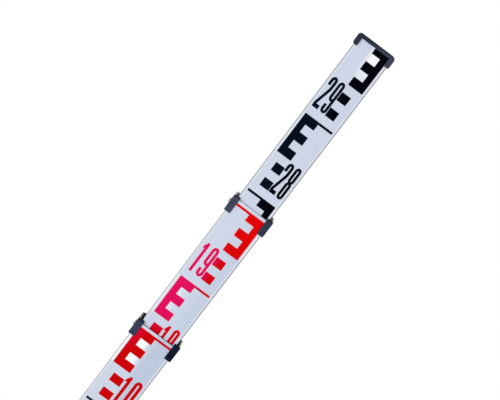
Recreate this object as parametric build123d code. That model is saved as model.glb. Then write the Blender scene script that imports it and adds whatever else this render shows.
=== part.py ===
from build123d import *
import os

# Telescopic leveling staff in three aluminium box sections, drawn partly open.
# Millimetres, +Z up the staff, graduated front face towards -Y, origin at the middle of the foot.

# Scale marks and reach, measured up the staff from the foot
mark_11 = 1100.0  # 11 dm mark, the end of the lower section's scale
mark_20 = 1272.6  # 20 dm mark of the middle section as drawn open here
mark_30 = 1492.6  # 30 dm mark of the top section as drawn open here, which is the top of the cap
full_mark_20 = 2000.0  # the same marks on the fully drawn staff
full_section = 1000.0  # 20 dm mark to 30 dm mark on the fully drawn staff
lip_above_mark = 3.6  # tube end above the last mark of its scale
middle_drop = 151.0  # travel of the middle section down to the closed staff
top_drop = 199.0  # travel of the top section down to the closed staff

# Box sections
wall = 1.0
section_step = 4.6  # each section is this much narrower and shallower than the one around it
lower_width = 51.2
lower_depth = 27.0
front_radius = 2.0  # outer corner radius beside the graduated face
least_radius = 0.5  # sharpest corner of a bore
bead_width = 2.7  # raised edge on each side of the graduated face
face_recess = 0.3  # graduated face behind the raised edges
lower_rear_radius = 5.0
rear_radius_step = 1.0
gap = section_step / 2 - wall  # between one section and the next, each side

# Foot
plate_thickness = 2.0
plate_inset = 0.6
plate_screw_x = 16.0
plate_screw_gap = 1.0  # under the floor of the shoe's hollow
shoe_wall = 2.0
shoe_top = 20.0
shoe_front = 8.0  # top of the shoe in front of the graduated face
shoe_leg = 5.0  # shoe's front corners over the graduated face
shoe_seat = 5.0  # height of the tube's lower end
shoe_plug_top = 24.0
shoe_plug_wall = 3.0
shoe_floor = 8.0
shoe_screw_z = 13.0
shoe_edge = 1.0
foot_clearance = 6.0  # left under the middle section when the staff is closed

# Sliding plugs at the lower ends of the inner sections
plug_flange = 8.0
plug_spigot = 6.0
plug_wall = 2.0
slide_clearance = 0.3
closed_clearance = 3.0  # left between the two plugs when the staff is closed

# Collar at the upper end of the lower and middle sections
collar_lift = 0.9  # the lower collar sits this much higher on its tube than the middle one
band_thickness = 1.9
band_rise = 2.4  # band above the tube end
band_drop = 16.3  # band below the tube end
clip_front = 2.0  # clip in front of the graduated face
clip_side = 2.6  # lower clip outside the tube's side
clip_side_step = 0.3  # the middle section's clips stand out this much less
clip_cover = 5.3  # clip over the graduated face
clip_back = 2.0  # clip behind the graduated face, where the band starts
clip_rise = 2.5
clip_drop = 17.2
clip_tongue = 0.9  # thickness of the tongue inside the tube
clip_tongue_drop = 10.0
clip_corner = 1.3
clip_shoulder = 1.6  # outer top corner
clip_edge = 0.5
pad_width = 28.0
pad_thickness = 0.9
pad_height = 14.0
pad_below_lip = 1.5

# Lock
lock_below_lip = 8.2
lock_y = -2.5
lock_radius = 1.2
lock_play = 0.05
lock_tip_gap = 0.3  # pin tip to the inner section
lock_tip_chamfer = 0.3
lock_hole_radius = 1.5  # hole that the pin meets in the fully drawn inner section
lock_neck_radius = 1.45
lock_neck = 0.3
lock_head_radius = 1.9
lock_head = 1.2
lock_head_round = 0.7
leaf_thickness = 0.4
leaf_width = 5.0
leaf_end = 2.6  # leaf past the pin's and the rivet's middle
leaf_round = 2.4  # corners at its two ends
leaf_rivet_y = 5.0

# Rivets and screws
rivet_radius = 1.1
rivet_head_radius = 2.1
rivet_head = 0.9
rivet_head_round = 0.6
upset_radius = 1.7
upset = 0.5
side_rivet_y = 1.0
rear_rivet_x = 9.0
screw_radius = 1.5
screw_head_radius = 2.7
screw_head = 1.5
screw_head_round = 0.7
screw_slot = 0.6
screw_slot_depth = 0.7
countersink_depth = 1.5
countersink_sunk = 0.1

# Cap
cap_skirt = 1.9
cap_height = 13.3
cap_plate = 3.0
cap_front = 3.9  # depth of the cap over the graduated face
cap_leg = 3.3  # leg over the graduated face
cap_plug = 9.0
cap_plug_wall = 2.5
cap_edge = 1.0  # round the front and the back
cap_shoulder = 3.4  # outer top corners, seen from the front
cap_foot = 1.8  # outer lower corners, seen from the front
cap_screw_x = 11.0
cap_screw_below = 7.5

cutter = 200.0  # size of a block that cuts away everything beyond a plane
past = 1.0  # how far a cut runs past the surface that it starts from


def outline(width, depth, front, rear):
    """Rectangle about the staff's axis with its own front and rear corner radii."""
    shape = Rectangle(width, depth)
    shape = fillet(shape.vertices().group_by(Axis.Y)[0], front)
    return fillet(shape.vertices().group_by(Axis.Y)[-1], rear)


def prism(shape, low, high):
    """Outline carried from one height to another."""
    return Pos(0, 0, low) * extrude(shape, high - low)


def block(x, y, z):
    """Box between two values on each axis."""
    middle = [(pair[0] + pair[1]) / 2 for pair in (x, y, z)]
    return Pos(*middle) * Box(x[1] - x[0], y[1] - y[0], z[1] - z[0])


def outward(x, y, z, direction):
    """Placement on a surface, with local Z pointing out of it."""
    return Plane(origin=(x, y, z), z_dir=direction).location


def disc(radius, low, high):
    """Round stretch along local Z."""
    return Pos(0, 0, (low + high) / 2) * Cylinder(radius, high - low)


class BoxSection:
    """One tube of the staff: its size, corner radii, clip width, lower end, upper end and collar height."""

    def __init__(self, index, bottom, lip, lift=0.0):
        self.width = lower_width - index * section_step
        self.depth = lower_depth - index * section_step
        self.rear_radius = lower_rear_radius - index * rear_radius_step
        self.clip_side = clip_side - index * clip_side_step
        self.bottom = bottom
        self.lip = lip
        self.collar = lip + lift

    def grown(self, amount):
        """Outer outline moved outwards, or inwards when amount is negative."""
        return outline(
            self.width + 2 * amount,
            self.depth + 2 * amount,
            max(front_radius + amount, least_radius),
            max(self.rear_radius + amount, least_radius),
        )

    def skin(self):
        """Outer outline with the graduated face set back between the raised edges."""
        face = Pos(0, -self.depth / 2) * Rectangle(self.width - 2 * bead_width, 2 * face_recess)
        return self.grown(0) - face

    def tube(self):
        return prism(self.skin(), self.bottom, self.lip) - prism(self.grown(-wall), self.bottom, self.lip)


def domed(radius, round_over, low, high):
    """Round head whose outer edge is rounded over."""
    head = disc(radius, low, high)
    return fillet(head.edges().sort_by(Axis.Z)[-1], round_over)


def rivet(grip, with_upset=True):
    """Rivet along local Z, head on the surface at 0, shank through the grip below it."""
    shape = domed(rivet_head_radius, rivet_head_round, 0, rivet_head) + disc(rivet_radius, -grip, 0)
    if with_upset:
        shape += disc(upset_radius, -grip - upset, -grip)
    return shape


def pan_screw(length):
    """Slotted pan-head screw along local Z, head on the surface at 0."""
    head = domed(screw_head_radius, screw_head_round, 0, screw_head)
    slot = Pos(0, 0, screw_head) * Box(cutter, screw_slot, 2 * screw_slot_depth)
    return head - slot + disc(screw_radius, -length, 0)


def countersunk_screw(length):
    """Countersunk screw along local Z, flat head sunk a little under the surface at 0."""
    top = -countersink_sunk
    cone = Pos(0, 0, top - countersink_depth / 2) * Cone(screw_radius, screw_head_radius, countersink_depth)
    slot = Pos(0, 0, top) * Box(cutter, screw_slot, 2 * screw_slot_depth)
    return cone - slot + disc(screw_radius, -length, top - countersink_depth)


def save(node, shape):
    """Write one node, a single solid or a group of separate solids."""
    export_step(shape, f"parts/{node}.step")


lower_lip = mark_11 + lip_above_mark
middle_lip = mark_20 + lip_above_mark
middle_lift = full_mark_20 - mark_20
top_lift = full_section - (mark_30 - mark_20)
middle_plug_low = shoe_plug_top + foot_clearance + middle_drop
middle_bottom = middle_plug_low + plug_flange
top_plug_low = middle_bottom + plug_spigot + closed_clearance + top_drop
top_bottom = top_plug_low + plug_flange

lower = BoxSection(0, shoe_seat, lower_lip, collar_lift)
middle = BoxSection(1, middle_bottom, middle_lip)
top = BoxSection(2, top_bottom, mark_30 - cap_plate)


def lock_height(section):
    return section.lip - lock_below_lip


def side_places(section, stand_off, height, y):
    """Placements on the left and right sides of a section at a distance outside the tube."""
    x = section.width / 2 + stand_off
    return outward(-x, y, height, (-1, 0, 0)), outward(x, y, height, (1, 0, 0))


def rear_places(section, stand_off, height, x):
    """Two placements on the back of a section at a distance outside the tube."""
    y = section.depth / 2 + stand_off
    return outward(-x, y, height, (0, 1, 0)), outward(x, y, height, (0, 1, 0))


def collar_holes(section):
    """Round holes through band, tube and pad: lock pin, leaf rivet, side rivet and rear rivets."""
    z = lock_height(section)
    left_pin = side_places(section, band_thickness, z, lock_y)[0]
    left_rivet = side_places(section, band_thickness, z, leaf_rivet_y)[0]
    right_rivet = side_places(section, band_thickness, z, side_rivet_y)[1]
    depth = band_thickness + wall
    holes = [left_pin * disc(lock_radius + lock_play, -2 * depth, depth)]
    holes += [place * disc(rivet_radius, -2 * depth, depth) for place in (left_rivet, right_rivet)]
    rear = rear_places(section, band_thickness, z, rear_rivet_x)
    holes += [place * disc(rivet_radius, -2 * depth, depth) for place in rear]
    return holes


def collar_band(section):
    """Metal band round the sides and back, standing above the tube's end."""
    low, high = section.collar - band_drop, section.collar + band_rise
    band = prism(section.grown(band_thickness), low, high)
    band -= prism(section.grown(0), low, high)
    front = -section.depth / 2 + clip_back
    band -= block((-cutter, cutter), (front - cutter, front), (low - past, high + past))
    for hole in collar_holes(section):
        band -= hole
    return band


def clip(section, band, side):
    """Corner clip: outside the front corner, over the tube's end and down inside as a tongue."""
    low, high = section.collar - clip_drop, section.collar + clip_rise
    outer, inner = section.width / 2 + section.clip_side, section.width / 2 - clip_cover
    face = -section.depth / 2
    x = (inner, outer) if side > 0 else (-outer, -inner)
    y = (face - clip_front, face + clip_back)
    body = block(x, y, (low, high))
    top_edges = body.edges().filter_by(Axis.Y).group_by(Axis.Z)[-1]
    body = fillet(top_edges.sort_by(Axis.X)[-1 if side > 0 else 0], clip_shoulder)
    front_edges = body.edges().filter_by(Axis.Z).group_by(Axis.Y)[0]
    body = fillet(front_edges.sort_by(Axis.X)[-1 if side > 0 else 0], clip_corner)
    body = fillet(body.faces().sort_by(Axis.Y)[0].edges(), clip_edge)
    hook = body - prism(section.skin(), low, section.lip)
    tongue_low = section.lip - clip_tongue_drop
    tongue = prism(section.grown(-wall), tongue_low, section.lip) & body
    hook += tongue
    hook -= prism(section.grown(-wall - clip_tongue), low, high)
    return hook - band


def rear_pad(section):
    """Slide pad on the inside of the back wall."""
    back = section.depth / 2 - wall
    high = section.lip - pad_below_lip
    pad = block((-pad_width / 2, pad_width / 2), (back - pad_thickness, back), (high - pad_height, high))
    for hole in collar_holes(section):
        pad -= hole
    return pad


def band_rivets(section):
    """One rivet on the right side and two at the back, these ending flush in the pad."""
    z = lock_height(section)
    right = side_places(section, band_thickness, z, side_rivet_y)[1]
    rear = rear_places(section, band_thickness, z, rear_rivet_x)
    through = band_thickness + wall
    flush = rivet(through + pad_thickness, with_upset=False)
    return [right * rivet(through), *[place * flush for place in rear]]


def lock_leaf(section):
    """Leaf spring along the left side of the band, with holes for the pin and its rivet."""
    z = lock_height(section)
    x = -section.width / 2 - band_thickness
    ends = (lock_y - leaf_end, leaf_rivet_y + leaf_end)
    middle_y = (ends[0] + ends[1]) / 2
    strip = Box(leaf_thickness, ends[1] - ends[0], leaf_width)
    strip = fillet(strip.edges().filter_by(Axis.X), leaf_round)
    leaf = Pos(x - leaf_thickness / 2, middle_y, z) * strip
    leaf -= outward(x, lock_y, z, (-1, 0, 0)) * disc(lock_radius + lock_play, -past, past)
    return leaf - outward(x, leaf_rivet_y, z, (-1, 0, 0)) * disc(rivet_radius, -past, past)


def lock_rivet(section):
    stand_off = band_thickness + leaf_thickness
    place = side_places(section, stand_off, lock_height(section), leaf_rivet_y)[0]
    return place * rivet(stand_off + wall)


def lock_pin(section):
    """Brass pin through leaf, band and tube wall, with a small head to lift it by."""
    stand_off = band_thickness + leaf_thickness
    reach = stand_off + wall + gap - lock_tip_gap
    shank = disc(lock_radius, -reach, 0)
    shank = chamfer(shank.edges().sort_by(Axis.Z)[0], lock_tip_chamfer)
    neck = disc(lock_neck_radius, 0, lock_neck)
    head = domed(lock_head_radius, lock_head_round, lock_neck, lock_neck + lock_head)
    place = side_places(section, stand_off, lock_height(section), lock_y)[0]
    return place * (shank + neck + head)


def collared_tube(section):
    """Tube with the holes of its collar."""
    tube = section.tube()
    for hole in collar_holes(section):
        tube -= hole
    return tube


def lock_hole(section, height):
    """Hole in the left wall that the lock pin of the section around it meets when fully drawn."""
    return side_places(section, 0, height, lock_y)[0] * disc(lock_hole_radius, -2 * wall, wall)


def plug_rivet_places(section):
    return side_places(section, 0, section.bottom + plug_spigot / 2, 0)


def plug_rivet_holes(section):
    return [place * disc(rivet_radius, -2 * plug_wall, wall) for place in plug_rivet_places(section)]


def bottom_plug(section, around):
    """Plug in the tube's lower end whose flange slides inside the section around it."""
    flange = around.grown(-wall - slide_clearance)
    plug = prism(flange, section.bottom - plug_flange, section.bottom)
    plug += prism(section.grown(-wall), section.bottom, section.bottom + plug_spigot)
    hollow = section.grown(-wall - plug_wall)
    plug -= prism(hollow, section.bottom - plug_flange + plug_wall, section.bottom + plug_spigot)
    for hole in plug_rivet_holes(section):
        plug -= hole
    return plug


def plug_rivets(section):
    shape = rivet(wall + plug_wall, with_upset=False)
    return [place * shape for place in plug_rivet_places(section)]


def shoe_screw_places():
    return side_places(lower, shoe_wall, shoe_screw_z, 0)


def plate_screw_places():
    return [outward(x, 0, 0, (0, 0, -1)) for x in (-plate_screw_x, plate_screw_x)]


def base_shoe():
    """Shoe with a seat for the tube's walls and a hollow plug inside the tube."""
    shoe = prism(lower.grown(shoe_wall), plate_thickness, shoe_top)
    shoe = fillet(shoe.faces().sort_by(Axis.Z)[-1].edges(), shoe_edge)
    shoe -= prism(lower.skin(), shoe_seat, shoe_top)
    window = lower.width / 2 - shoe_leg
    face = -lower.depth / 2 + face_recess
    shoe -= block((-window, window), (face - cutter, face), (shoe_front, shoe_top))
    shoe += prism(lower.grown(-wall), shoe_seat, shoe_plug_top)
    shoe -= prism(lower.grown(-wall - shoe_plug_wall), shoe_floor, shoe_plug_top)
    side_reach = shoe_wall + wall + shoe_plug_wall
    for place in shoe_screw_places():
        shoe -= place * disc(screw_radius, -side_reach, past)
    for place in plate_screw_places():
        shoe -= place * disc(screw_radius, -shoe_floor, 0)
    return shoe


def base_wear_plate():
    plate = prism(lower.grown(shoe_wall - plate_inset), 0, plate_thickness)
    for place in plate_screw_places():
        plate -= place * disc(screw_head_radius, -countersink_sunk, 0)
        sink = Pos(0, 0, -countersink_sunk - countersink_depth / 2)
        plate -= place * (sink * Cone(screw_radius, screw_head_radius, countersink_depth))
        plate -= place * disc(screw_radius, -plate_thickness, 0)
    return plate


def cap_screw_places():
    return rear_places(top, cap_skirt, mark_30 - cap_screw_below, cap_screw_x)


def top_cap():
    """Cap with a skirt round sides and back, two legs at the front corners and a plug inside the tube."""
    low = mark_30 - cap_height
    x, y = top.width / 2 + cap_skirt, top.depth / 2 + cap_skirt
    cap = block((-x, x), (-y, y), (low, mark_30))
    cap = fillet(cap.edges().filter_by(Axis.Y).group_by(Axis.Z)[-1], cap_shoulder)
    cap = fillet(cap.edges().filter_by(Axis.Y).group_by(Axis.Z)[0], cap_foot)
    cap = fillet(cap.faces().sort_by(Axis.Y)[0].edges(), cap_edge)
    cap = fillet(cap.faces().sort_by(Axis.Y)[-1].edges(), cap_edge)
    cap -= prism(top.skin(), low, top.lip)
    window = top.width / 2 - cap_leg
    face = -top.depth / 2 + face_recess
    cap -= block((-window, window), (face - cutter, face), (low - past, mark_30 - cap_front))
    plug = prism(top.grown(-wall), top.lip - cap_plug, top.lip)
    plug -= prism(top.grown(-wall - cap_plug_wall), top.lip - cap_plug, top.lip)
    cap += plug
    reach = cap_skirt + wall + cap_plug_wall
    for place in cap_screw_places():
        cap -= place * disc(screw_radius, -reach, past)
    return cap


os.makedirs("parts", exist_ok=True)

# Foot
lower_tube = collared_tube(lower)
for place in shoe_screw_places():
    lower_tube -= place * disc(screw_radius, -shoe_wall - 2 * wall, 0)
save("lower_tube", lower_tube)
save("base_shoe", base_shoe())
shoe_screw = pan_screw(shoe_wall + wall + shoe_plug_wall)
save("base_shoe_screws", Compound(children=[place * shoe_screw for place in shoe_screw_places()]))
save("base_wear_plate", base_wear_plate())
plate_screw = countersunk_screw(shoe_floor - plate_screw_gap)
save("base_plate_screws", Compound(children=[place * plate_screw for place in plate_screw_places()]))

# Middle tube, with the hole that the lower lock meets
middle_tube = collared_tube(middle) - lock_hole(middle, lock_height(lower) - middle_lift)
for hole in plug_rivet_holes(middle):
    middle_tube -= hole
save("middle_tube", middle_tube)

# Top tube, with the hole that the middle lock meets
top_tube = top.tube() - lock_hole(top, lock_height(middle) - top_lift)
for hole in plug_rivet_holes(top):
    top_tube -= hole
for place in cap_screw_places():
    top_tube -= place * disc(screw_radius, -cap_skirt - 2 * wall, 0)
save("top_tube", top_tube)

# Sliding plugs
for name, section, around in (("middle", middle, lower), ("top", top, middle)):
    save(f"{name}_bottom_plug", bottom_plug(section, around))
    save(f"{name}_plug_rivets", Compound(children=plug_rivets(section)))

# Collars and locks
for name, section in (("lower", lower), ("middle", middle)):
    band = collar_band(section)
    save(f"{name}_collar_band", band)
    save(f"{name}_clip_left", clip(section, band, -1))
    save(f"{name}_clip_right", clip(section, band, 1))
    save(f"{name}_rear_pad", rear_pad(section))
    save(f"{name}_band_rivets", Compound(children=band_rivets(section)))
    save(f"{name}_lock_spring", lock_leaf(section))
    save(f"{name}_lock_rivet", lock_rivet(section))
    save(f"{name}_lock_pin", lock_pin(section))

# Cap
save("top_cap", top_cap())
cap_screw = pan_screw(cap_skirt + wall + cap_plug_wall)
save("top_cap_screws", Compound(children=[place * cap_screw for place in cap_screw_places()]))

print("travel of the middle section", -middle_drop, middle_lift)
print("travel of the top section", -top_drop, top_lift)
print("lower lock height", lock_height(lower), "middle lock height", lock_height(middle))
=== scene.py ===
import bpy
import bmesh
import math
import numpy as np
from mathutils import Matrix, Vector
from mathutils.geometry import delaunay_2d_cdt


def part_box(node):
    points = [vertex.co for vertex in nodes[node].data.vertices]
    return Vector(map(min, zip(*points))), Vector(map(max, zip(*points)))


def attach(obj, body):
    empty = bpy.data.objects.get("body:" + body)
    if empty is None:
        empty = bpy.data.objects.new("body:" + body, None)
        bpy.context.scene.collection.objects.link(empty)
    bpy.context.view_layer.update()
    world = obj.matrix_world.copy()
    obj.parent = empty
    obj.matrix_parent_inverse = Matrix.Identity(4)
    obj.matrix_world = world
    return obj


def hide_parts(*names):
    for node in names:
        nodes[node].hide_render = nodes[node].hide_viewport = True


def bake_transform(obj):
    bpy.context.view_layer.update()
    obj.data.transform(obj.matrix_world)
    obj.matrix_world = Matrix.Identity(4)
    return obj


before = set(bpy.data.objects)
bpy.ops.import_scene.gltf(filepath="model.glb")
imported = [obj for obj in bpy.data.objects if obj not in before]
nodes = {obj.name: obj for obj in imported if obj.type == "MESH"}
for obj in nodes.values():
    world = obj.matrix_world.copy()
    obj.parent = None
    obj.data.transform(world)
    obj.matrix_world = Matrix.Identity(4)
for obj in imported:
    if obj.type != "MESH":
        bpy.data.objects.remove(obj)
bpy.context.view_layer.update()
scene = bpy.context.scene
scene.view_settings.view_transform = "Standard"
print("frame loaded:", len(nodes), "nodes")

# small helpers


def srgb(red, green, blue):
    # screen colour 0..255 to the linear colour that a shader wants: straight near black, a power above
    part = np.array([red, green, blue]) / 255
    linear = np.where(part <= 0.04045, part / 12.92, ((part + 0.055) / 1.055) ** 2.4)
    return (*linear.tolist(), 1.0)


def addObject(name, data):
    thing = bpy.data.objects.new(name, data)
    scene.collection.objects.link(thing)
    return thing


def addMesh(name, points, faces, material):
    mesh = bpy.data.meshes.new(name)
    mesh.from_pydata(points.tolist(), [], faces)
    mesh.update()
    mesh.materials.append(material)
    return addObject(name, mesh)


def joinMarks(marks):
    # several (points, faces) sets as one: faces count on from the points before them, unused points dropped
    starts = np.cumsum([0] + [len(points) for points, faces in marks[:-1]])
    points = np.concatenate([points for points, faces in marks])
    faces = [face + start for mark, start in zip(marks, starts) for face in mark[1]]
    used, place = np.unique(np.concatenate(faces), return_inverse=True)
    ends = np.cumsum([len(face) for face in faces])
    return points[used], [face.tolist() for face in np.split(place, ends[:-1])]


class Wire:
    # one shader socket with Python's operators on it; any other node comes from make()
    def __init__(self, tree, socket=None):
        self.tree = tree
        self.socket = socket

    def make(self, kind, sockets=None, out=0, **settings):
        node = self.tree.nodes.new("ShaderNode" + kind)
        for key, value in settings.items():
            setattr(node, key, value)
        for key, value in (sockets or {}).items():
            self.feed(node.inputs[key], value)
        return Wire(self.tree, node.outputs[out])

    def feed(self, target, value):
        if isinstance(value, Wire):
            self.tree.links.new(value.socket, target)
        else:
            target.default_value = value

    def maths(self, operation, other=0.0, reflected=False):
        first, second = (other, self) if reflected else (self, other)
        return self.make("Math", {0: first, 1: second}, operation=operation)

    def __add__(self, other):
        return self.maths("ADD", other)

    def __radd__(self, other):
        return self.maths("ADD", other, reflected=True)

    def __sub__(self, other):
        return self.maths("SUBTRACT", other)

    def __rsub__(self, other):
        return self.maths("SUBTRACT", other, reflected=True)

    def __mul__(self, other):
        return self.maths("MULTIPLY", other)

    def __rmul__(self, other):
        return self.maths("MULTIPLY", other, reflected=True)

    def size(self):
        return self.maths("ABSOLUTE")

    def mix(self, first, second):
        # colour between two colours, self is the share of the second
        return self.make("Mix", {0: self, 6: first, 7: second}, out=2, data_type="RGBA")

    def ease(self, low, high, start=0.0, end=1.0):
        # smooth step of self from start at low to end at high
        return self.make(
            "MapRange",
            {"Value": self, "From Min": low, "From Max": high, "To Min": start, "To Max": end},
            interpolation_type="SMOOTHSTEP",
        )


def newMaterial(name):
    material = bpy.data.materials.new(name)
    material.use_nodes = True
    shader = material.node_tree.nodes["Principled BSDF"]
    return material, shader, Wire(material.node_tree)


def objectPlace(wire):
    # Object coordinates and their three parts
    place = wire.make("TexCoord", out="Object")
    return place, [place.make("SeparateXYZ", {0: place}, out=axis) for axis in "XYZ"]


def noise(place, scale, detail=3.0, stretch=(1, 1, 1), roughness=0.5):
    # soft noise 0..1 with a feature of about 1/scale metres, stretched by the mapping
    sockets = {"Scale": scale, "Detail": detail, "Roughness": roughness}
    sockets["Vector"] = place.make("Mapping", {"Vector": place, "Scale": stretch})
    return place.make("TexNoise", sockets, out="Fac")


def inward(x, y, high, radii):
    # how far a point lies inside a box section with rounded corners: the corner's radius, which differs in
    # front and behind, less the distance past the corner's centre
    nearMiddle = 0.001
    radius = y.ease(-nearMiddle, nearMiddle, *radii)
    past = [part.size() - end + radius for part, end in ((x, high.x), (y, high.y))]
    across, deep = (part.maths("MAXIMUM", 0.0) for part in past)
    return radius - (across * across + deep * deep).maths("SQRT")


def finishShader(wire, shader, **sockets):
    for key, value in sockets.items():
        wire.feed(shader.inputs[key.replace("_", " ")], value)


def bump(wire, height, strength, distance):
    return wire.make("Bump", {"Height": height, "Strength": strength, "Distance": distance}, out="Normal")


# camera, the photograph's view

cameraSetup = {
    "place": (-0.0612, -1.3064, 1.5343),
    "aim": (-0.0090, -0.0089, 1.2830),
    "roll": 37.19,  # degrees, staff leans to the right in the picture
    "lens": 90.0,
    "sensor": 36.0,
}


def addCamera(setup):
    # looks from place to aim, with its right-hand axis turned up from the level by the roll
    data = bpy.data.cameras.new("camera")
    data.lens = setup["lens"]
    data.sensor_width = setup["sensor"]
    camera = addObject("camera", data)
    place, aim = Vector(setup["place"]), Vector(setup["aim"])
    ahead = (aim - place).normalized()
    level = ahead.cross(Vector((0, 0, 1))).normalized()
    above = level.cross(ahead)
    roll = math.radians(setup["roll"])
    right = math.cos(roll) * level + math.sin(roll) * above
    upward = right.cross(ahead)
    axes = Matrix((right, upward, -ahead)).transposed().to_4x4()
    camera.matrix_world = Matrix.Translation(place) @ axes
    scene.camera = camera


addCamera(cameraSetup)
print("camera placed")

# the three sections and their scales, each fixed by the height of its last decimetre mark

decimetre = 0.1
centimetre = 0.01
lip = 0.0036  # tube above its last mark
scales = {
    "top": {
        "body": "top_section",
        "tube": "top_tube",
        "mark": (30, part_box("top_cap")[1].z),  # number and height of the last mark
        "runs": [("black", 20, 30)],  # ink, first and last decimetre
        "width": 0.01747,  # middle line to the outer edge of the E's
        "spine": 0.01049,  # middle line to the inner edge of their spines
        "aside": -0.00013,  # blocks off the middle line
        "digits": (0.0385, 0.021),  # height, and inset of right-hand numbers as a share of the width
        "shade": (-0.3, 0.9, 0.15),  # painted shade, the face darker to the right: from and to in half widths, and how much
        "glow": (0.055, 0.015, 0.0, 1.0),  # white in the E's: two depths below the mark, how much at each
        "reach": (-0.5, 0.3),  # where that white starts and is full, in spines from the middle line
        "beside": 0.2,  # white of the raised edge next to an E
        "cut": srgb(16, 16, 18),  # the tube's cut end, painted as the shade at its lip
        "corners": (srgb(196, 199, 206), srgb(104, 107, 114)),  # painted highlight on the metal left of the face and painted shade on the metal right of it
    },
    "middle": {
        "body": "middle_section",
        "tube": "middle_tube",
        "mark": (20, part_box("middle_tube")[1].z - lip),
        "runs": [("red", 11, 20)],
        "width": 0.01904,
        "spine": 0.01148,
        "aside": -0.00004,
        "digits": (0.0379, 0.005),
        "shade": (-0.3, 0.9, 0.6),
        "glow": (0.1, 0.05, 0.45, 0.0),
        "reach": (0.2, 1.0),
        "beside": 0.5,
        "cut": srgb(170, 175, 186),
        "corners": (srgb(236, 238, 242), srgb(84, 88, 96)),
    },
    "lower": {
        "body": "base_section",
        "tube": "lower_tube",
        "mark": (11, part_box("lower_tube")[1].z - lip),
        "runs": [("black", 0, 10), ("lowerRed", 10, 11)],
        "width": 0.02176,
        "spine": 0.01324,
        "aside": 0.00014,
        "digits": (0.0385, 0.021),
        "shade": (-0.05, 0.25, 0.95),
        "glow": (0.3, 0.1, 0.2, 1.0),
        "reach": (0.0, 0.4),
        "beside": 0.95,
        "cut": srgb(16, 16, 18),
        "corners": (srgb(252, 253, 255), srgb(110, 113, 120)),
    },
}

# finishes

tubeLook = {
    "enamel": srgb(208, 217, 234),
    "enamelShade": srgb(190, 203, 223),  # painted shade towards the right-hand side
    "white": srgb(252, 253, 255),  # inside the E's
    "edge": srgb(220, 226, 240),  # raised edges beside the face
    "enamelDepth": 0.0005,  # enamel reaches this far back from the raised edges
    "enamelRough": 0.42,
    "peel": 1500.0,  # orange peel of the enamel, dimples per metre
    "peelRough": 0.06,
    "peelHeight": 0.4,
    "cloud": 14.0,  # slow changes of tone, per metre
    "cloudShare": 0.15,
    "bead": 0.0027,  # raised edge, as wide as in the tube itself
    "beadSlope": 0.0004,
    "upperHalf": (0.49, 0.51),  # the E fills its decimetre from here up
    "overWidth": 0.0003,  # white inside the E's fades out over this
    "overMiddle": 0.001,
    "nearMark": (0.5, 0.25, 0.25),  # painted shade and the white beside the E's are full near the last mark and this faint far below
    "metal": srgb(196, 198, 202),
    "metalShade": srgb(168, 170, 175),
    "metalRough": 0.35,
    "drawLines": (2600.0, 2600.0, 7.0),  # extrusion lines per metre, across and along the tube
    "drawShares": (0.6, 0.4),  # lines and clouds in the metal's tone
    "drawTone": (0.25, 0.75),
    "drawRough": 0.16,
    "sides": (-0.005, 0.005),  # left-hand corner's look turns into the right-hand one's between these
    "bare": (0.0006, 0.00085),  # bare metal at the left and the right corner, wider on the right to widen the painted shade there
    "paintedCorner": (0.001, 0.0018),  # painted highlight and shade of the corners end this far back
    "inside": srgb(16, 16, 18),  # painted shade in the bore
    "dullRough": 0.3,
    "wall": 0.0006,  # this much of the wall still counts as outside
    "radii": (0.002, 0.005),  # corners in front and behind
    "crisp": 0.0001,  # one finish turns into the next over this
    "ragged": 900.0,  # wobble of the enamel's edge, per metre
    "bump": (0.18, 0.00003),
    "gloss": 0.2,
}


def facePaint(scale, look, x, z, high, cloud):
    # enamel with painted shade that darkens it to the right, paler on the raised edges and white inside and
    # beside the E's;
    # these are found from the reading: its whole number gives the side, odd to the right, and its rest the
    # half
    label, level = scale["mark"]
    reading = (z - level) * (1 / decimetre) + label
    number = reading.maths("FLOOR")
    side = number.maths("MODULO", 2.0) * 2.0 - 1.0
    upper = (reading - number).ease(*look["upperHalf"])
    farEnd, nearEnd, faintest = look["nearMark"]
    nearMark = z.ease(level - farEnd, level - nearEnd, faintest, 1.0)
    inE = upper * (x * side).ease(*(share * scale["spine"] for share in scale["reach"]))
    inE = inE * x.size().ease(scale["width"], scale["width"] + look["overWidth"], 1.0, 0.0)
    start, end, atStart, atEnd = scale["glow"]
    inE = inE * z.ease(level - start, level - end, atStart, atEnd)
    # painted shade: the face darkens to the right, fullest near the last mark, with random cloud in its tone
    bright, dim, amount = scale["shade"]
    paintedShadeAndCloud = x.ease(high.x * bright, high.x * dim) * nearMark * amount + (cloud - 0.5) * look["cloudShare"]
    inner = high.x - look["bead"]
    bead = x.size().ease(inner - look["beadSlope"], inner)
    besideE = upper * (x * side).ease(0.0, look["overMiddle"]) * bead * nearMark * scale["beside"]
    paint = bead.mix(paintedShadeAndCloud.mix(look["enamel"], look["enamelShade"]), look["edge"])
    return (inE + besideE).mix(paint, look["white"])


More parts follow.
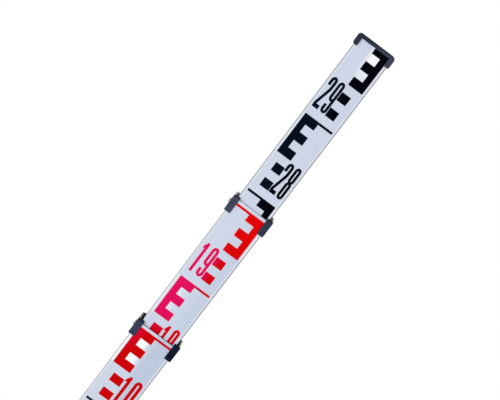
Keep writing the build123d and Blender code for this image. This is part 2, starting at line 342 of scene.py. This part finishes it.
def tubeFinish(scale, look):
    # enamel on the graduated face, drawn aluminium elsewhere with painted light and shade at its corners,
    # and a bore and cut end painted dark as shade and made dull, each masked by place
    material, shader, wire = newMaterial(scale["tube"] + "Finish")
    place, (x, y, z) = objectPlace(wire)
    low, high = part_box(scale["tube"])
    crisp = look["crisp"]
    lines = noise(place, 1.0, stretch=look["drawLines"])
    cloud = noise(place, look["cloud"])
    peel = noise(place, look["peel"], detail=2.0)
    ragged = noise(place, look["ragged"], detail=2.0) * crisp
    bare = x.ease(*look["sides"], *look["bare"])
    back = low.y + look["enamelDepth"]
    enamel = y.ease(back, back + crisp, 1.0, 0.0)
    enamel = enamel * (x.size() + bare + ragged).ease(high.x, high.x + crisp, 1.0, 0.0)
    # the bore and the cut end are painted dark as shade, and made dull
    bore = inward(x, y, high, look["radii"]).ease(look["wall"], look["wall"] + crisp)
    cut = z.ease(high.z - 2 * crisp, high.z - crisp)
    shadedAndDull = bore.maths("MAXIMUM", cut)
    painted = enamel * (1 - shadedAndDull)
    lineShare, cloudShare = look["drawShares"]
    drawn = (lines * lineShare + cloud * cloudShare).ease(*look["drawTone"])
    drawn = drawn.mix(look["metalShade"], look["metal"])
    # painted highlight on the left corner, painted shade on the right one
    paintedCorner = x.ease(*look["sides"]).mix(*scale["corners"])
    drawn = y.ease(*(low.y + deep for deep in look["paintedCorner"])).mix(paintedCorner, drawn)
    outside = enamel.mix(drawn, facePaint(scale, look, x, z, high, cloud))
    metalRough = look["metalRough"] + lines * look["drawRough"] + shadedAndDull * look["dullRough"]
    finishShader(
        wire,
        shader,
        Base_Color=shadedAndDull.mix(outside, cut.mix(look["inside"], scale["cut"])),
        Metallic=(1 - enamel) * (1 - shadedAndDull),
        Roughness=painted * (look["enamelRough"] + peel * look["peelRough"]) + (1 - painted) * metalRough,
        Normal=bump(wire, painted * peel * look["peelHeight"] + (1 - painted) * lines, *look["bump"]),
        Specular_IOR_Level=look["gloss"],
    )
    return material


pieceSides = (-0.02, 0.02)  # left-hand and right-hand tones of plastic and metal pieces are full here

# the four clip looks are one plastic, painted with the light and shade at each clip: the right-hand clips'
# looks are painted shade, darkest at the lower right
plasticLooks = {
    "clip": {
        "light": srgb(63, 69, 91), "dark": srgb(51, 58, 78),
        "rough": 0.5, "sheen": 0.06, "lean": -0.3,  # lean: how much lighter the right-hand side is
    },
    "clipShaded": {
        "light": srgb(50, 59, 80), "dark": srgb(35, 46, 66),
        "rough": 0.5, "sheen": 0.05, "lean": 0.0,
    },
    "clipLowerLeft": {
        "light": srgb(56, 67, 94), "dark": srgb(42, 53, 79),
        "rough": 0.5, "sheen": 0.06, "lean": 0.0,
    },
    "clipDeepShade": {
        "light": srgb(20, 30, 53), "dark": srgb(9, 17, 37),
        "rough": 0.5, "sheen": 0.03, "lean": 0.0,
    },
    "cap": {
        "light": srgb(60, 66, 85), "dark": srgb(41, 47, 64),
        "rough": 0.5, "sheen": 0.05, "lean": 0.5,
    },
    "shoe": {
        "light": srgb(54, 58, 74), "dark": srgb(40, 44, 58),
        "rough": 0.55, "sheen": 0.2, "lean": 0.0,
    },
    "slide": {
        "light": srgb(30, 31, 34), "dark": srgb(22, 23, 26),
        "rough": 0.4, "sheen": 0.3, "lean": 0.0,
    },
}
mouldLook = {
    "drift": 160.0,  # slow changes of colour, per metre
    "driftRough": 0.12,
    "grain": 2600.0,  # spark grain of the mould, per metre
    "grainBite": 0.65,  # how harsh the grain is
    "grainRough": 0.06,
    "shares": (0.7, 0.3),  # drift and grain in the colour
    "tone": (0.3, 0.7),
    "bump": (0.35, 0.00004),
    "top": srgb(22, 26, 42),  # painted shade on the upward faces of the cap and the clips
    "topFade": (0.0012, 0.0003),  # where that starts and is full, below the top
}


def plasticFinish(name, look, top=None):
    # moulded plastic: spark grain, slow colour drift, a lighter side, a slightly uneven gloss and painted
    # shade on the top
    mould = mouldLook
    material, shader, wire = newMaterial(name)
    place, (x, _, z) = objectPlace(wire)
    drift = noise(place, mould["drift"])
    grain = noise(place, mould["grain"], roughness=mould["grainBite"])
    driftShare, grainShare = mould["shares"]
    lighter = drift * driftShare + grain * grainShare + x.ease(*pieceSides, -0.5, 0.5) * look["lean"]
    colour = lighter.ease(*mould["tone"]).mix(look["dark"], look["light"])
    # painted shade on the upward faces
    if top:
        colour = z.ease(*(top - under for under in mould["topFade"])).mix(colour, mould["top"])
    finishShader(
        wire,
        shader,
        Base_Color=colour,
        Roughness=look["rough"] + drift * mould["driftRough"] - grain * mould["grainRough"],
        Normal=bump(wire, grain, *mould["bump"]),
        Specular_IOR_Level=look["sheen"],
    )
    return material


# the two bands are one steel, painted with the light on each: shade on the lower band's left, highlight on
# the upper band
metalLooks = {
    "bandLow": {
        "tones": (srgb(160, 157, 157), srgb(236, 232, 222)),  # left and right, the left one painted shade
        "rough": 0.42,
        "stretch": (30, 30, 3000),  # tool lines per metre along each axis
    },
    "bandHigh": {
        "tones": (srgb(250, 246, 241), srgb(250, 248, 243)),
        "rough": 0.42,
        "stretch": (30, 30, 3000),
    },
    "rivet": {"tones": (srgb(200, 201, 204),) * 2, "rough": 0.3, "stretch": (1800, 1800, 1800)},
    "steel": {"tones": (srgb(186, 186, 189),) * 2, "rough": 0.32, "stretch": (2200, 60, 2200)},
    "plate": {"tones": (srgb(174, 174, 177),) * 2, "rough": 0.38, "stretch": (60, 2400, 2400)},
    "brass": {"tones": (srgb(222, 214, 184),) * 2, "rough": 0.34, "stretch": (3000, 700, 700)},
}
wearLook = {
    "patch": 260.0,  # dull patches per metre
    "shares": (0.65, 0.35),  # tool lines and patches in the wear
    "wear": (0.3, 0.75, 0.25, 0.0),  # most worn and not worn, and how much of the worn colour at each
    "worn": (0.02, 0.02, 0.02, 1.0),
    "lineRough": 0.14,
    "patchEdge": (0.55, 0.8),
    "patchRough": 0.1,
    "bump": (0.25, 0.00003),
}
bandInside = {
    "radii": (0.002, 0.0069),  # corners in front and behind
    "wall": 0.0018,
    "crisp": 0.00005,  # one finish turns into the other over this
    "colour": srgb(9, 9, 10),  # painted shade, seen past its rim
}


def metalFinish(name, look, band=None):
    # bare metal with tool lines along one direction and small dull patches, its tone changing from left to
    # right, which on the bands is painted light and shade; a band's inner side is painted near black as
    # shade
    wear = wearLook
    material, shader, wire = newMaterial(name)
    place, (x, y, _) = objectPlace(wire)
    lines = noise(place, 1.0, stretch=look["stretch"])
    patch = noise(place, wear["patch"])
    # on the bands this turn from left to right is painted light and shade
    tone = x.ease(*pieceSides).mix(*look["tones"])
    lineShare, patchShare = wear["shares"]
    worn = (lines * lineShare + patch * patchShare).ease(*wear["wear"])
    colour = worn.mix(tone, wear["worn"])
    # painted shade inside the band, seen past its rim
    if band:
        wall = bandInside["wall"]
        inner = inward(x, y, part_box(band)[1], bandInside["radii"]).ease(wall, wall + bandInside["crisp"])
        colour = inner.mix(colour, bandInside["colour"])
    dullPatch = patch.ease(*wear["patchEdge"]) * wear["patchRough"]
    finishShader(
        wire,
        shader,
        Base_Color=colour,
        Metallic=1.0,
        Roughness=look["rough"] + lines * wear["lineRough"] + dullPatch,
        Normal=bump(wire, lines, *wear["bump"]),
    )
    return material


inkLooks = {
    "black": {
        "warm": srgb(1, 2, 10), "deep": srgb(1, 2, 10), "cool": srgb(3, 13, 29),
        "band": (0.043, 0.058, 1.2, 1.3),  # cool tint starts, is full, fades, is gone, below the last mark
        "across": (0.4, -0.2),  # where it starts and is full, shares of the half width
    },
    "red": {
        "warm": srgb(231, 2, 4), "deep": srgb(212, 2, 6), "cool": srgb(231, 15, 95),
        "band": (0.043, 0.058, 0.14, 0.173),
        "across": (0.4, -0.2),
    },
    "lowerRed": {
        "warm": srgb(206, 2, 5), "deep": srgb(206, 2, 5), "cool": srgb(223, 4, 42),
        "band": (-0.01, -0.005, 0.006, 0.034),
        "across": (-0.3, -0.9),
    },
}
printLook = {
    "deepen": (-0.01, 0.1),  # the warm colour deepens between these, below the last mark
    "drift": 30.0,  # slow changes of tint, per metre
    "driftShare": 0.1,
    "mottle": 2200.0,  # specks per metre
    "thin": (0.55, 0.9, 0.0, 0.02),  # enamel shows through the strongest specks, up to this share
    "rough": 0.5,
    "mottleRough": 0.1,
    "bump": (0.1, 0.00001),
    "gloss": 0.01,
}


def inkFinish(name, look, halfWidth, level):
    # printed ink that is cooler towards the left, in a band below the section's last mark
    ink = printLook
    material, shader, wire = newMaterial(name)
    place, (x, _, z) = objectPlace(wire)
    mottle = noise(place, ink["mottle"], detail=2.0)
    drift = noise(place, ink["drift"], detail=2.0)
    below = level - z
    start, full, fade, gone = look["band"]
    band = below.ease(start, full) * below.ease(fade, gone, 1.0, 0.0)
    cool = x.ease(*(halfWidth * share for share in look["across"])) * band
    warm = below.ease(*ink["deepen"]).mix(look["warm"], look["deep"])
    hue = (cool + (drift - 0.5) * ink["driftShare"]).mix(warm, look["cool"])
    finishShader(
        wire,
        shader,
        Base_Color=mottle.ease(*ink["thin"]).mix(hue, tubeLook["enamel"]),
        Roughness=ink["rough"] + mottle * ink["mottleRough"],
        Normal=bump(wire, mottle, *ink["bump"]),
        Specular_IOR_Level=ink["gloss"],
    )
    return material


plastic = {key: plasticFinish(key + "Plastic", plasticLooks[key]) for key in ("shoe", "slide")}
metal = {key: metalFinish(key + "Metal", metalLooks[key]) for key in ("rivet", "steel", "plate", "brass")}

nodeFinishes = {
    "base_shoe": plastic["shoe"],
    "top_cap": plasticFinish("capPlastic", plasticLooks["cap"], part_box("top_cap")[1].z),
    "base_wear_plate": metal["plate"],
    "base_shoe_screws": metal["steel"],
    "base_plate_screws": metal["steel"],
    "top_cap_screws": metal["steel"],
    "middle_bottom_plug": plastic["slide"],
    "top_bottom_plug": plastic["slide"],
    "middle_plug_rivets": metal["rivet"],
    "top_plug_rivets": metal["rivet"],
}
nodeFinishes |= {scale["tube"]: tubeFinish(scale, tubeLook) for scale in scales.values()}
collars = {"lower": ("bandLow", "clipLowerLeft", "clipDeepShade"), "middle": ("bandHigh", "clip", "clipShaded")}
for joint, (band, left, right) in collars.items():
    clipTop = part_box(joint + "_clip_left")[1].z
    nodeFinishes |= {
        joint + "_collar_band": metalFinish(joint + "Band", metalLooks[band], joint + "_collar_band"),
        joint + "_clip_left": plasticFinish(joint + "LeftClip", plasticLooks[left], clipTop),
        joint + "_clip_right": plasticFinish(joint + "RightClip", plasticLooks[right], clipTop),
        joint + "_rear_pad": plastic["slide"],
        joint + "_band_rivets": metal["rivet"],
        joint + "_lock_spring": metal["steel"],
        joint + "_lock_rivet": metal["rivet"],
        joint + "_lock_pin": metal["brass"],
    }
for node, material in nodeFinishes.items():
    nodes[node].data.materials.clear()
    nodes[node].data.materials.append(material)
print("finishes on", len(nodeFinishes), "nodes")

# graduation, E pattern: 1 cm blocks, side changes every decimetre

scaleLook = {
    "recess": 0.0003,  # graduated face behind the tube's raised edges
    "proud": 0.00004,  # ink above the enamel
    "sunk": 0.00002,
    "endGap": 0.0001,  # ink stops this far below the tube's end
    "markLine": 0.0023,  # thickness of the line at each decimetre
    "spread": 0.00025,  # ink past the outer edges of the E's
    "overMiddle": 0.00035,  # ink past the middle line
    "squareOut": 0.0005,  # squares past the inner edge of the E's spine
    "spineIn": 0.00015,
    "down": 0.00036,  # blocks run over their centimetre
    "up": 0.0001,
    "digitWidth": 0.42,  # the next four are shares of the E's width
    "leftGap": 0.109,  # between the digits of a left-hand number
    "rightGap": 0.1,
    "stroke": 0.168,
    "digitFoot": 0.0098,  # number above its decimetre mark
    "overshoot": 0.0008,  # the 8 is this much taller at each end
    "crown": 1.4,  # rounded ends of a digit are this much taller than round
    "arcPoints": 17,
    "bendPoints": 13,
}


def gridMarks(xLines, zLines, filled, front, back):
    # filled cells of a grid as flat slabs: front and back sheets, and a wall wherever a filled cell meets a
    # bare one
    columns, rows = len(xLines), len(zLines)
    x, z = np.meshgrid(xLines, zLines)
    sheets = [np.stack([x, np.full_like(x, y), z], -1).reshape(-1, 3) for y in (front, back)]
    corner = np.arange(columns * rows).reshape(rows, columns)
    a, b, c, d = corner[:-1, :-1], corner[:-1, 1:], corner[1:, 1:], corner[1:, :-1]
    behind = columns * rows
    padded = np.pad(filled, 1)
    quads = [np.stack([a, b, c, d], -1)[filled], np.stack([d, c, b, a], -1)[filled] + behind]
    sides = [
        (a, b, padded[:-2, 1:-1]),  # each cell's lower side and the cell below it
        (b, c, padded[1:-1, 2:]),
        (c, d, padded[2:, 1:-1]),
        (d, a, padded[1:-1, :-2]),
    ]
    for start, end, beside in sides:
        rim = filled & ~beside
        quads.append(np.stack([start[rim], start[rim] + behind, end[rim] + behind, end[rim]], -1))
    return np.concatenate(sheets), np.concatenate(quads)


def strokeCells(path, half, closed):
    # flat quads along a path, whose left and right edges stand half a stroke off it, mitred at each point
    # and never past the middle of a tight bend
    straight, bendRoom, longestMitre = 1e-6, 0.49, 2
    path = np.asarray(path, float)
    ahead = np.roll(path, -1, 0) - path if closed else np.diff(path, axis=0)
    length = np.linalg.norm(ahead, axis=1)
    ahead /= length[:, None]
    into = np.roll(ahead, 1, 0) if closed else np.concatenate([ahead[:1], ahead])
    out = ahead if closed else np.concatenate([ahead, ahead[-1:]])
    before = np.roll(length, 1) if closed else np.append(length[:1], length)
    after = length if closed else np.append(length, length[-1:])
    turn = into[:, 0] * out[:, 1] - into[:, 1] * out[:, 0]
    room = bendRoom * (before + after) / np.maximum(np.abs(turn), straight)
    normal = np.stack([-(into + out)[:, 1], (into + out)[:, 0]], -1)
    normal /= np.linalg.norm(normal, axis=1)[:, None]
    mitre = np.clip(np.sum(normal * np.stack([-out[:, 1], out[:, 0]], -1), 1), 1 / longestMitre, 1)
    wide = half / mitre
    left = path + normal * np.where(turn > 0, np.minimum(wide, room), wide)[:, None]
    right = path - normal * np.where(turn < 0, np.minimum(wide, room), wide)[:, None]
    if closed:
        left, right = np.concatenate([left, left[:1]]), np.concatenate([right, right[:1]])
    return np.stack([left[:-1], right[:-1], right[1:], left[1:]], 1)


def inkShape(cells, corner, front, back):
    # union of flat quads as a slab: triangles inside any quad, the same behind, and walls along the rim
    millimetres, weld, insideOnly = 1000, 1e-5, 1  # sums are more exact in millimetres
    points = [Vector(point) for point in (cells * millimetres).reshape(-1, 2).tolist()]
    quads = np.arange(len(points)).reshape(-1, 4).tolist()
    flat, _, triangles, _, _, covers = delaunay_2d_cdt(points, [], quads, insideOnly, weld)
    flat = np.array(flat) / millimetres + corner
    triangles = np.array([triangle for triangle, cover in zip(triangles, covers) if cover])
    behind = len(flat)
    sheets = [np.stack([flat[:, 0], np.full(behind, y), flat[:, 1]], -1) for y in (front, back)]
    start = triangles.ravel()
    end = np.roll(triangles, -1, 1).ravel()
    rim = ~np.isin(start * behind + end, end * behind + start)
    walls = np.stack([start[rim], start[rim] + behind, end[rim] + behind, end[rim]], -1)
    return np.concatenate(sheets), [*triangles, *(triangles[:, ::-1] + behind), *walls]


def arc(x, z, wide, tall, start, end):
    # round or oval stretch of a stroke, angles in degrees
    turn = np.radians(np.linspace(start, end, scaleLook["arcPoints"]))
    return np.stack([x + wide * np.cos(turn), z + tall * np.sin(turn)], -1)


def bend(*handles):
    # cubic curve through the first and last of four points, drawn to the two between
    t = np.linspace(0, 1, scaleLook["bendPoints"])[:, None]
    a, b, c, d = (np.array(point, float) for point in handles)
    return (1 - t) ** 3 * a + 3 * (1 - t) ** 2 * t * b + 3 * (1 - t) * t**2 * c + t**3 * d


def digitStrokes(digit, wide, tall, stroke):
    # centre lines of a tall narrow digit in a cell from (0, 0) to (wide, tall), their points given as shares
    # of the cell: list of (path, closed, share of the stroke)
    low, high = stroke / 2, tall - stroke / 2
    left, right, middle = stroke / 2, wide - stroke / 2, wide / 2
    r = (right - left) / 2
    rise = r * scaleLook["crown"]
    crown = arc(middle, high - rise, r, rise, 180, 0)  # left to right over the top
    bowl = arc(middle, low + rise, r, rise, 180, 360)  # left to right under the bottom
    hook = [(left, tall * 0.27)]
    if digit == "0":
        return [(np.concatenate([crown, bowl[::-1]]), True, 1)]
    if digit == "1":
        stem = wide * 0.5
        tip, inner = stem - wide * 0.34, stem - wide * 0.1
        flag = bend((stem, tall * 0.945), (inner, tall * 0.9), (tip, tall * 0.88), (tip, tall * 0.77))
        return [([(stem, 0), (stem, tall * 0.975)], False, 1), (flag, False, 0.62)]
    if digit == "2":
        far, foot = right - r * 0.14, low * 1.6
        knee = bend((right, tall * 0.78), (right, tall * 0.71), (right, tall * 0.66), (far, tall * 0.61))
        slope = [(left * 0.95, tall * 0.13), (left, foot)]
        hooked = np.concatenate([[(left, tall * 0.72)], crown, knee, slope])
        return [(hooked, False, 1.05), ([(0, foot), (wide, foot)], False, 1.6)]
    if digit == "3":
        upper = bend((right, high - rise), (right, tall * 0.62), (right, tall * 0.54), (middle, tall * 0.53))
        lower = bend((middle, tall * 0.53), (right, tall * 0.52), (right, tall * 0.44), (right, low + rise))
        return [
            (np.concatenate([[(left, tall * 0.75)], crown, upper[1:]]), False, 1),
            (np.concatenate([lower, bowl[::-1][1:], hook]), False, 1),
        ]
    if digit == "4":
        bar, stem = tall * 0.24, wide * 0.7
        return [
            ([(stem - stroke * 0.6, tall), (left * 0.9, bar)], False, 1),
            ([(0, bar), (wide, bar)], False, 1),
            ([(stem, 0), (stem, tall * 0.48)], False, 1),
        ]
    if digit == "5":
        leave = (left + r * 0.4, tall * 0.6)
        turn = bend((left, tall * 0.5), leave, (right, tall * 0.64), (right, tall * 0.44))
        return [
            ([(left * 0.4, high), (wide, high)], False, 1),
            ([(left, high), (left, tall * 0.48)], False, 1),
            (np.concatenate([turn, bowl[::-1], hook]), False, 1),
        ]
    if digit == "6":
        nine = digitStrokes("9", wide, tall, stroke)
        return [(np.array([wide, tall]) - path, closed, share) for path, closed, share in nine]
    if digit == "7":
        fall = bend((right, high), (right, tall * 0.7), (wide * 0.4, tall * 0.4), (wide * 0.32, 0))
        return [([(0, high), (wide, high)], False, 1), (fall, False, 1)]
    if digit == "8":
        waist, past = tall * 0.52, np.array([0, scaleLook["overshoot"]])
        inside = (middle + r * 0.6, waist * 1.045)
        enter = bend((right, waist * 1.19), (right, waist * 1.08), inside, (middle, waist))
        leave = np.array([wide, waist * 2]) - enter[::-1]
        down = np.concatenate([enter, leave[1:]])  # right to left through the waist
        climb = np.array([wide, 0]) + down[::-1] * np.array([-1, 1])
        eight = np.concatenate([crown + past, down, bowl - past, climb])
        return [(eight * np.array([0.92, 1]) + np.array([wide * 0.04, 0]), True, 1)]
    loop = arc(middle, tall * 0.42 + rise, r, rise, 180, 345)
    return [(np.concatenate([hook, bowl, crown[::-1], loop]), False, 1)]


def numberMarks(label, side, low, width, digits, front, back):
    # two digits on one side of the middle line: left-hand ones start at the outer edge of the E's,
    # right-hand ones end just inside it
    look, (tall, inset) = scaleLook, digits
    spacing = "leftGap" if side < 0 else "rightGap"
    wide, gap, stroke = (look[key] * width for key in ("digitWidth", spacing, "stroke"))
    start = -width if side < 0 else width * (1 - inset) - 2 * wide - gap
    marks = []
    for place, digit in enumerate(label):
        corner = np.array([start + place * (wide + gap), low])
        strokes = digitStrokes(digit, wide, tall, stroke)
        cells = [strokeCells(path, stroke * share / 2, closed) for path, closed, share in strokes]
        marks.append(inkShape(np.concatenate(cells), corner, front, back))
    return marks


def decimetreCells(odd):
    # one decimetre as rows of seven cells, split at the spine's edge, the squares' edge and round the middle
    bare = (0, 0, 0, 0, 0, 0, 0)
    square = (0, 0, 0, 1, 1, 1, 0)
    spine = (0, 0, 0, 0, 0, 1, 1)
    arm = (0, 0, 0, 1, 1, 1, 1)
    line = (1, 1, 1, 1, 1, 1, 1)
    cells = np.array([bare, square, bare, square, bare, arm, spine, arm, spine, arm, line], bool)
    return cells if odd else cells[:, ::-1]


def decimetreLines(look):
    # heights of the rows in a decimetre: ink runs up past its even lines and down past the others
    lines = np.append(np.arange(10) * centimetre, decimetre - look["markLine"])
    upward = np.isin(np.arange(len(lines)), (0, 2, 4, 6, 8))
    return lines + np.where(upward, look["up"], -look["down"])


def scalePiece(name, scale, ink, first, last):
    # graduation from one decimetre to another: blocks and lines on one grid, and a number in each decimetre
    look = scaleLook
    width, spine = scale["width"] + look["spread"], scale["spine"]
    low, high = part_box(scale["tube"])
    face = low.y + look["recess"]
    front, back = face - look["proud"], face + look["sunk"]
    topLabel, topHeight = scale["mark"]
    numbers = np.arange(first, last)
    feet = topHeight - (topLabel - numbers) * decimetre
    zLines = (feet[:, None] + decimetreLines(look)).ravel()
    zLines = np.append(zLines, feet[-1] + decimetre + look["up"])
    zLines = np.unique(np.minimum(zLines, high.z - look["endGap"]))
    filled = np.concatenate([decimetreCells(number % 2 == 1) for number in numbers])
    across = np.array([look["overMiddle"], spine - look["spineIn"], spine + look["squareOut"], width])
    xLines = np.append(-across[::-1], across) + scale["aside"]
    marks = [gridMarks(xLines, zLines, filled[:len(zLines) - 1], front, back)]
    for number, foot in zip(numbers, feet):
        if number:  # none at the foot of the staff
            side = -1 if number % 2 else 1
            base = foot + look["digitFoot"]
            marks += numberMarks(f"{number:02d}", side, base, width, scale["digits"], front, back)
    material = inkFinish(name + "Ink", inkLooks[ink], width, topHeight)
    piece = addMesh(name, *joinMarks(marks), material)
    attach(piece, scale["body"])


for key, scale in scales.items():
    for ink, first, last in scale["runs"]:
        scalePiece(f"{key}_scale_{first:02d}_{last:02d}", scale, ink, first, last)
print("graduation printed")

# lock leaves, cut across between rivet and pin

leafLook = {
    "cuts": 10,
    "rivetY": 0.005,
    "pinY": -0.0025,
    "weld": 1e-6,  # loose triangles become one surface
    "snap": 2e-5,  # a cut this close to a point goes through it
    "sliver": 2e-6,
}


def bendingLeaf(joint):
    # copy of the leaf with cuts across it between its rivet and its pin
    look = leafLook
    node = nodes[joint + "_lock_spring"]
    shape = bmesh.new()
    shape.from_mesh(node.data)
    bmesh.ops.remove_doubles(shape, verts=shape.verts, dist=look["weld"])
    for y in np.linspace(look["pinY"], look["rivetY"], look["cuts"]):
        everything = shape.verts[:] + shape.edges[:] + shape.faces[:]
        bmesh.ops.bisect_plane(
            shape, geom=everything, dist=look["snap"], plane_co=(0, y, 0), plane_no=(0, 1, 0)
        )
    bmesh.ops.dissolve_degenerate(shape, dist=look["sliver"], edges=shape.edges[:])
    mesh = bpy.data.meshes.new(joint + "_leaf")
    shape.to_mesh(mesh)
    shape.free()
    mesh.materials.clear()
    mesh.materials.append(metal["steel"])
    leaf = addObject(joint + "_leaf", mesh)
    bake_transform(leaf)
    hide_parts(node.name)


bendingLeaf("lower")
bendingLeaf("middle")
print("lock leaves made")

# floor, light and background

floorLook = {
    "radius": 1.6,
    "eye": 0.002,  # radius of the middle face
    "rings": 24,
    "spokes": 64,
    "drop": 0.0002,  # below the foot
    "solid": 0.4,  # fades from here to its edge
    "cover": 0.6,
    "colours": (srgb(236, 238, 241), srgb(238, 240, 243)),
    "speckle": 60.0,
    "speckleTone": (0.2, 0.8),
    "rough": 0.8,
    "speckleRough": 0.1,
    "gloss": 0.1,
}


def addFloor(look):
    # round floor on a grid of radius and angle, fading out to the background
    radius = np.linspace(look["eye"], look["radius"], look["rings"])
    turn = np.linspace(0, 2 * np.pi, look["spokes"], endpoint=False)
    r, t = np.meshgrid(radius, turn, indexing="ij")
    points = np.stack([r * np.cos(t), r * np.sin(t), np.full_like(r, -look["drop"])], -1).reshape(-1, 3)
    index = np.arange(r.size).reshape(r.shape)
    inner, outer = index[:-1], index[1:]
    quads = np.stack([inner, outer, np.roll(outer, -1, 1), np.roll(inner, -1, 1)], -1).reshape(-1, 4)
    material, shader, wire = newMaterial("floorPaint")
    place = wire.make("TexCoord", out="Object")
    away = place.make("VectorMath", {0: place}, out="Value", operation="LENGTH")
    speckle = noise(place, look["speckle"])
    finishShader(
        wire,
        shader,
        Base_Color=speckle.ease(*look["speckleTone"]).mix(*look["colours"]),
        Roughness=look["rough"] + speckle * look["speckleRough"],
        Alpha=away.ease(look["solid"], look["radius"], look["cover"], 0.0),
        Specular_IOR_Level=look["gloss"],
    )
    addMesh("floor", points, quads.tolist() + [index[0].tolist()], material)


lamps = {
    "key": {"place": (-0.9, -2.1, 1.2), "aim": (0, 0, 1.2), "size": 2.0, "power": 30.2},
    "fill": {"place": (1.2, -2.2, 1.2), "aim": (0, 0, 1.0), "size": 1.6, "power": 15.5},
    "rear": {"place": (-0.1, 2.4, 0.5), "aim": (0, 0, 0.8), "size": 2.0, "power": 6.0},
}


def addLamp(name, look):
    data = bpy.data.lights.new(name, "AREA")
    data.shape = "DISK"
    data.size = look["size"]
    data.energy = look["power"]
    place = Vector(look["place"])
    turn = (Vector(look["aim"]) - place).to_track_quat("-Z", "Y")
    addObject(name, data).matrix_world = Matrix.Translation(place) @ turn.to_matrix().to_4x4()


worldLook = {"ambient": 0.3, "mirror": 0.57, "tint": (0.99, 0.995, 1.0, 1.0), "seen": (1, 1, 1, 1)}


def addWorld(look):
    # white for the camera, greyer in mirror images, softer light for everything else
    world = bpy.data.worlds.new("studio")
    scene.world = world
    world.use_nodes = True
    wire = Wire(world.node_tree)
    seen = wire.make("LightPath", out="Is Camera Ray")
    through = wire.make("LightPath", out="Is Transmission Ray")
    mirrored = wire.make("LightPath", out="Is Glossy Ray")
    white = seen.maths("MAXIMUM", through)
    ambient = look["ambient"]
    background = world.node_tree.nodes["Background"]
    finishShader(
        wire,
        background,
        Color=white.mix(look["tint"], look["seen"]),
        Strength=ambient + mirrored * (look["mirror"] - ambient) + white * (1 - ambient),
    )


addFloor(floorLook)
for name, look in lamps.items():
    addLamp(name, look)
addWorld(worldLook)
print("studio set")
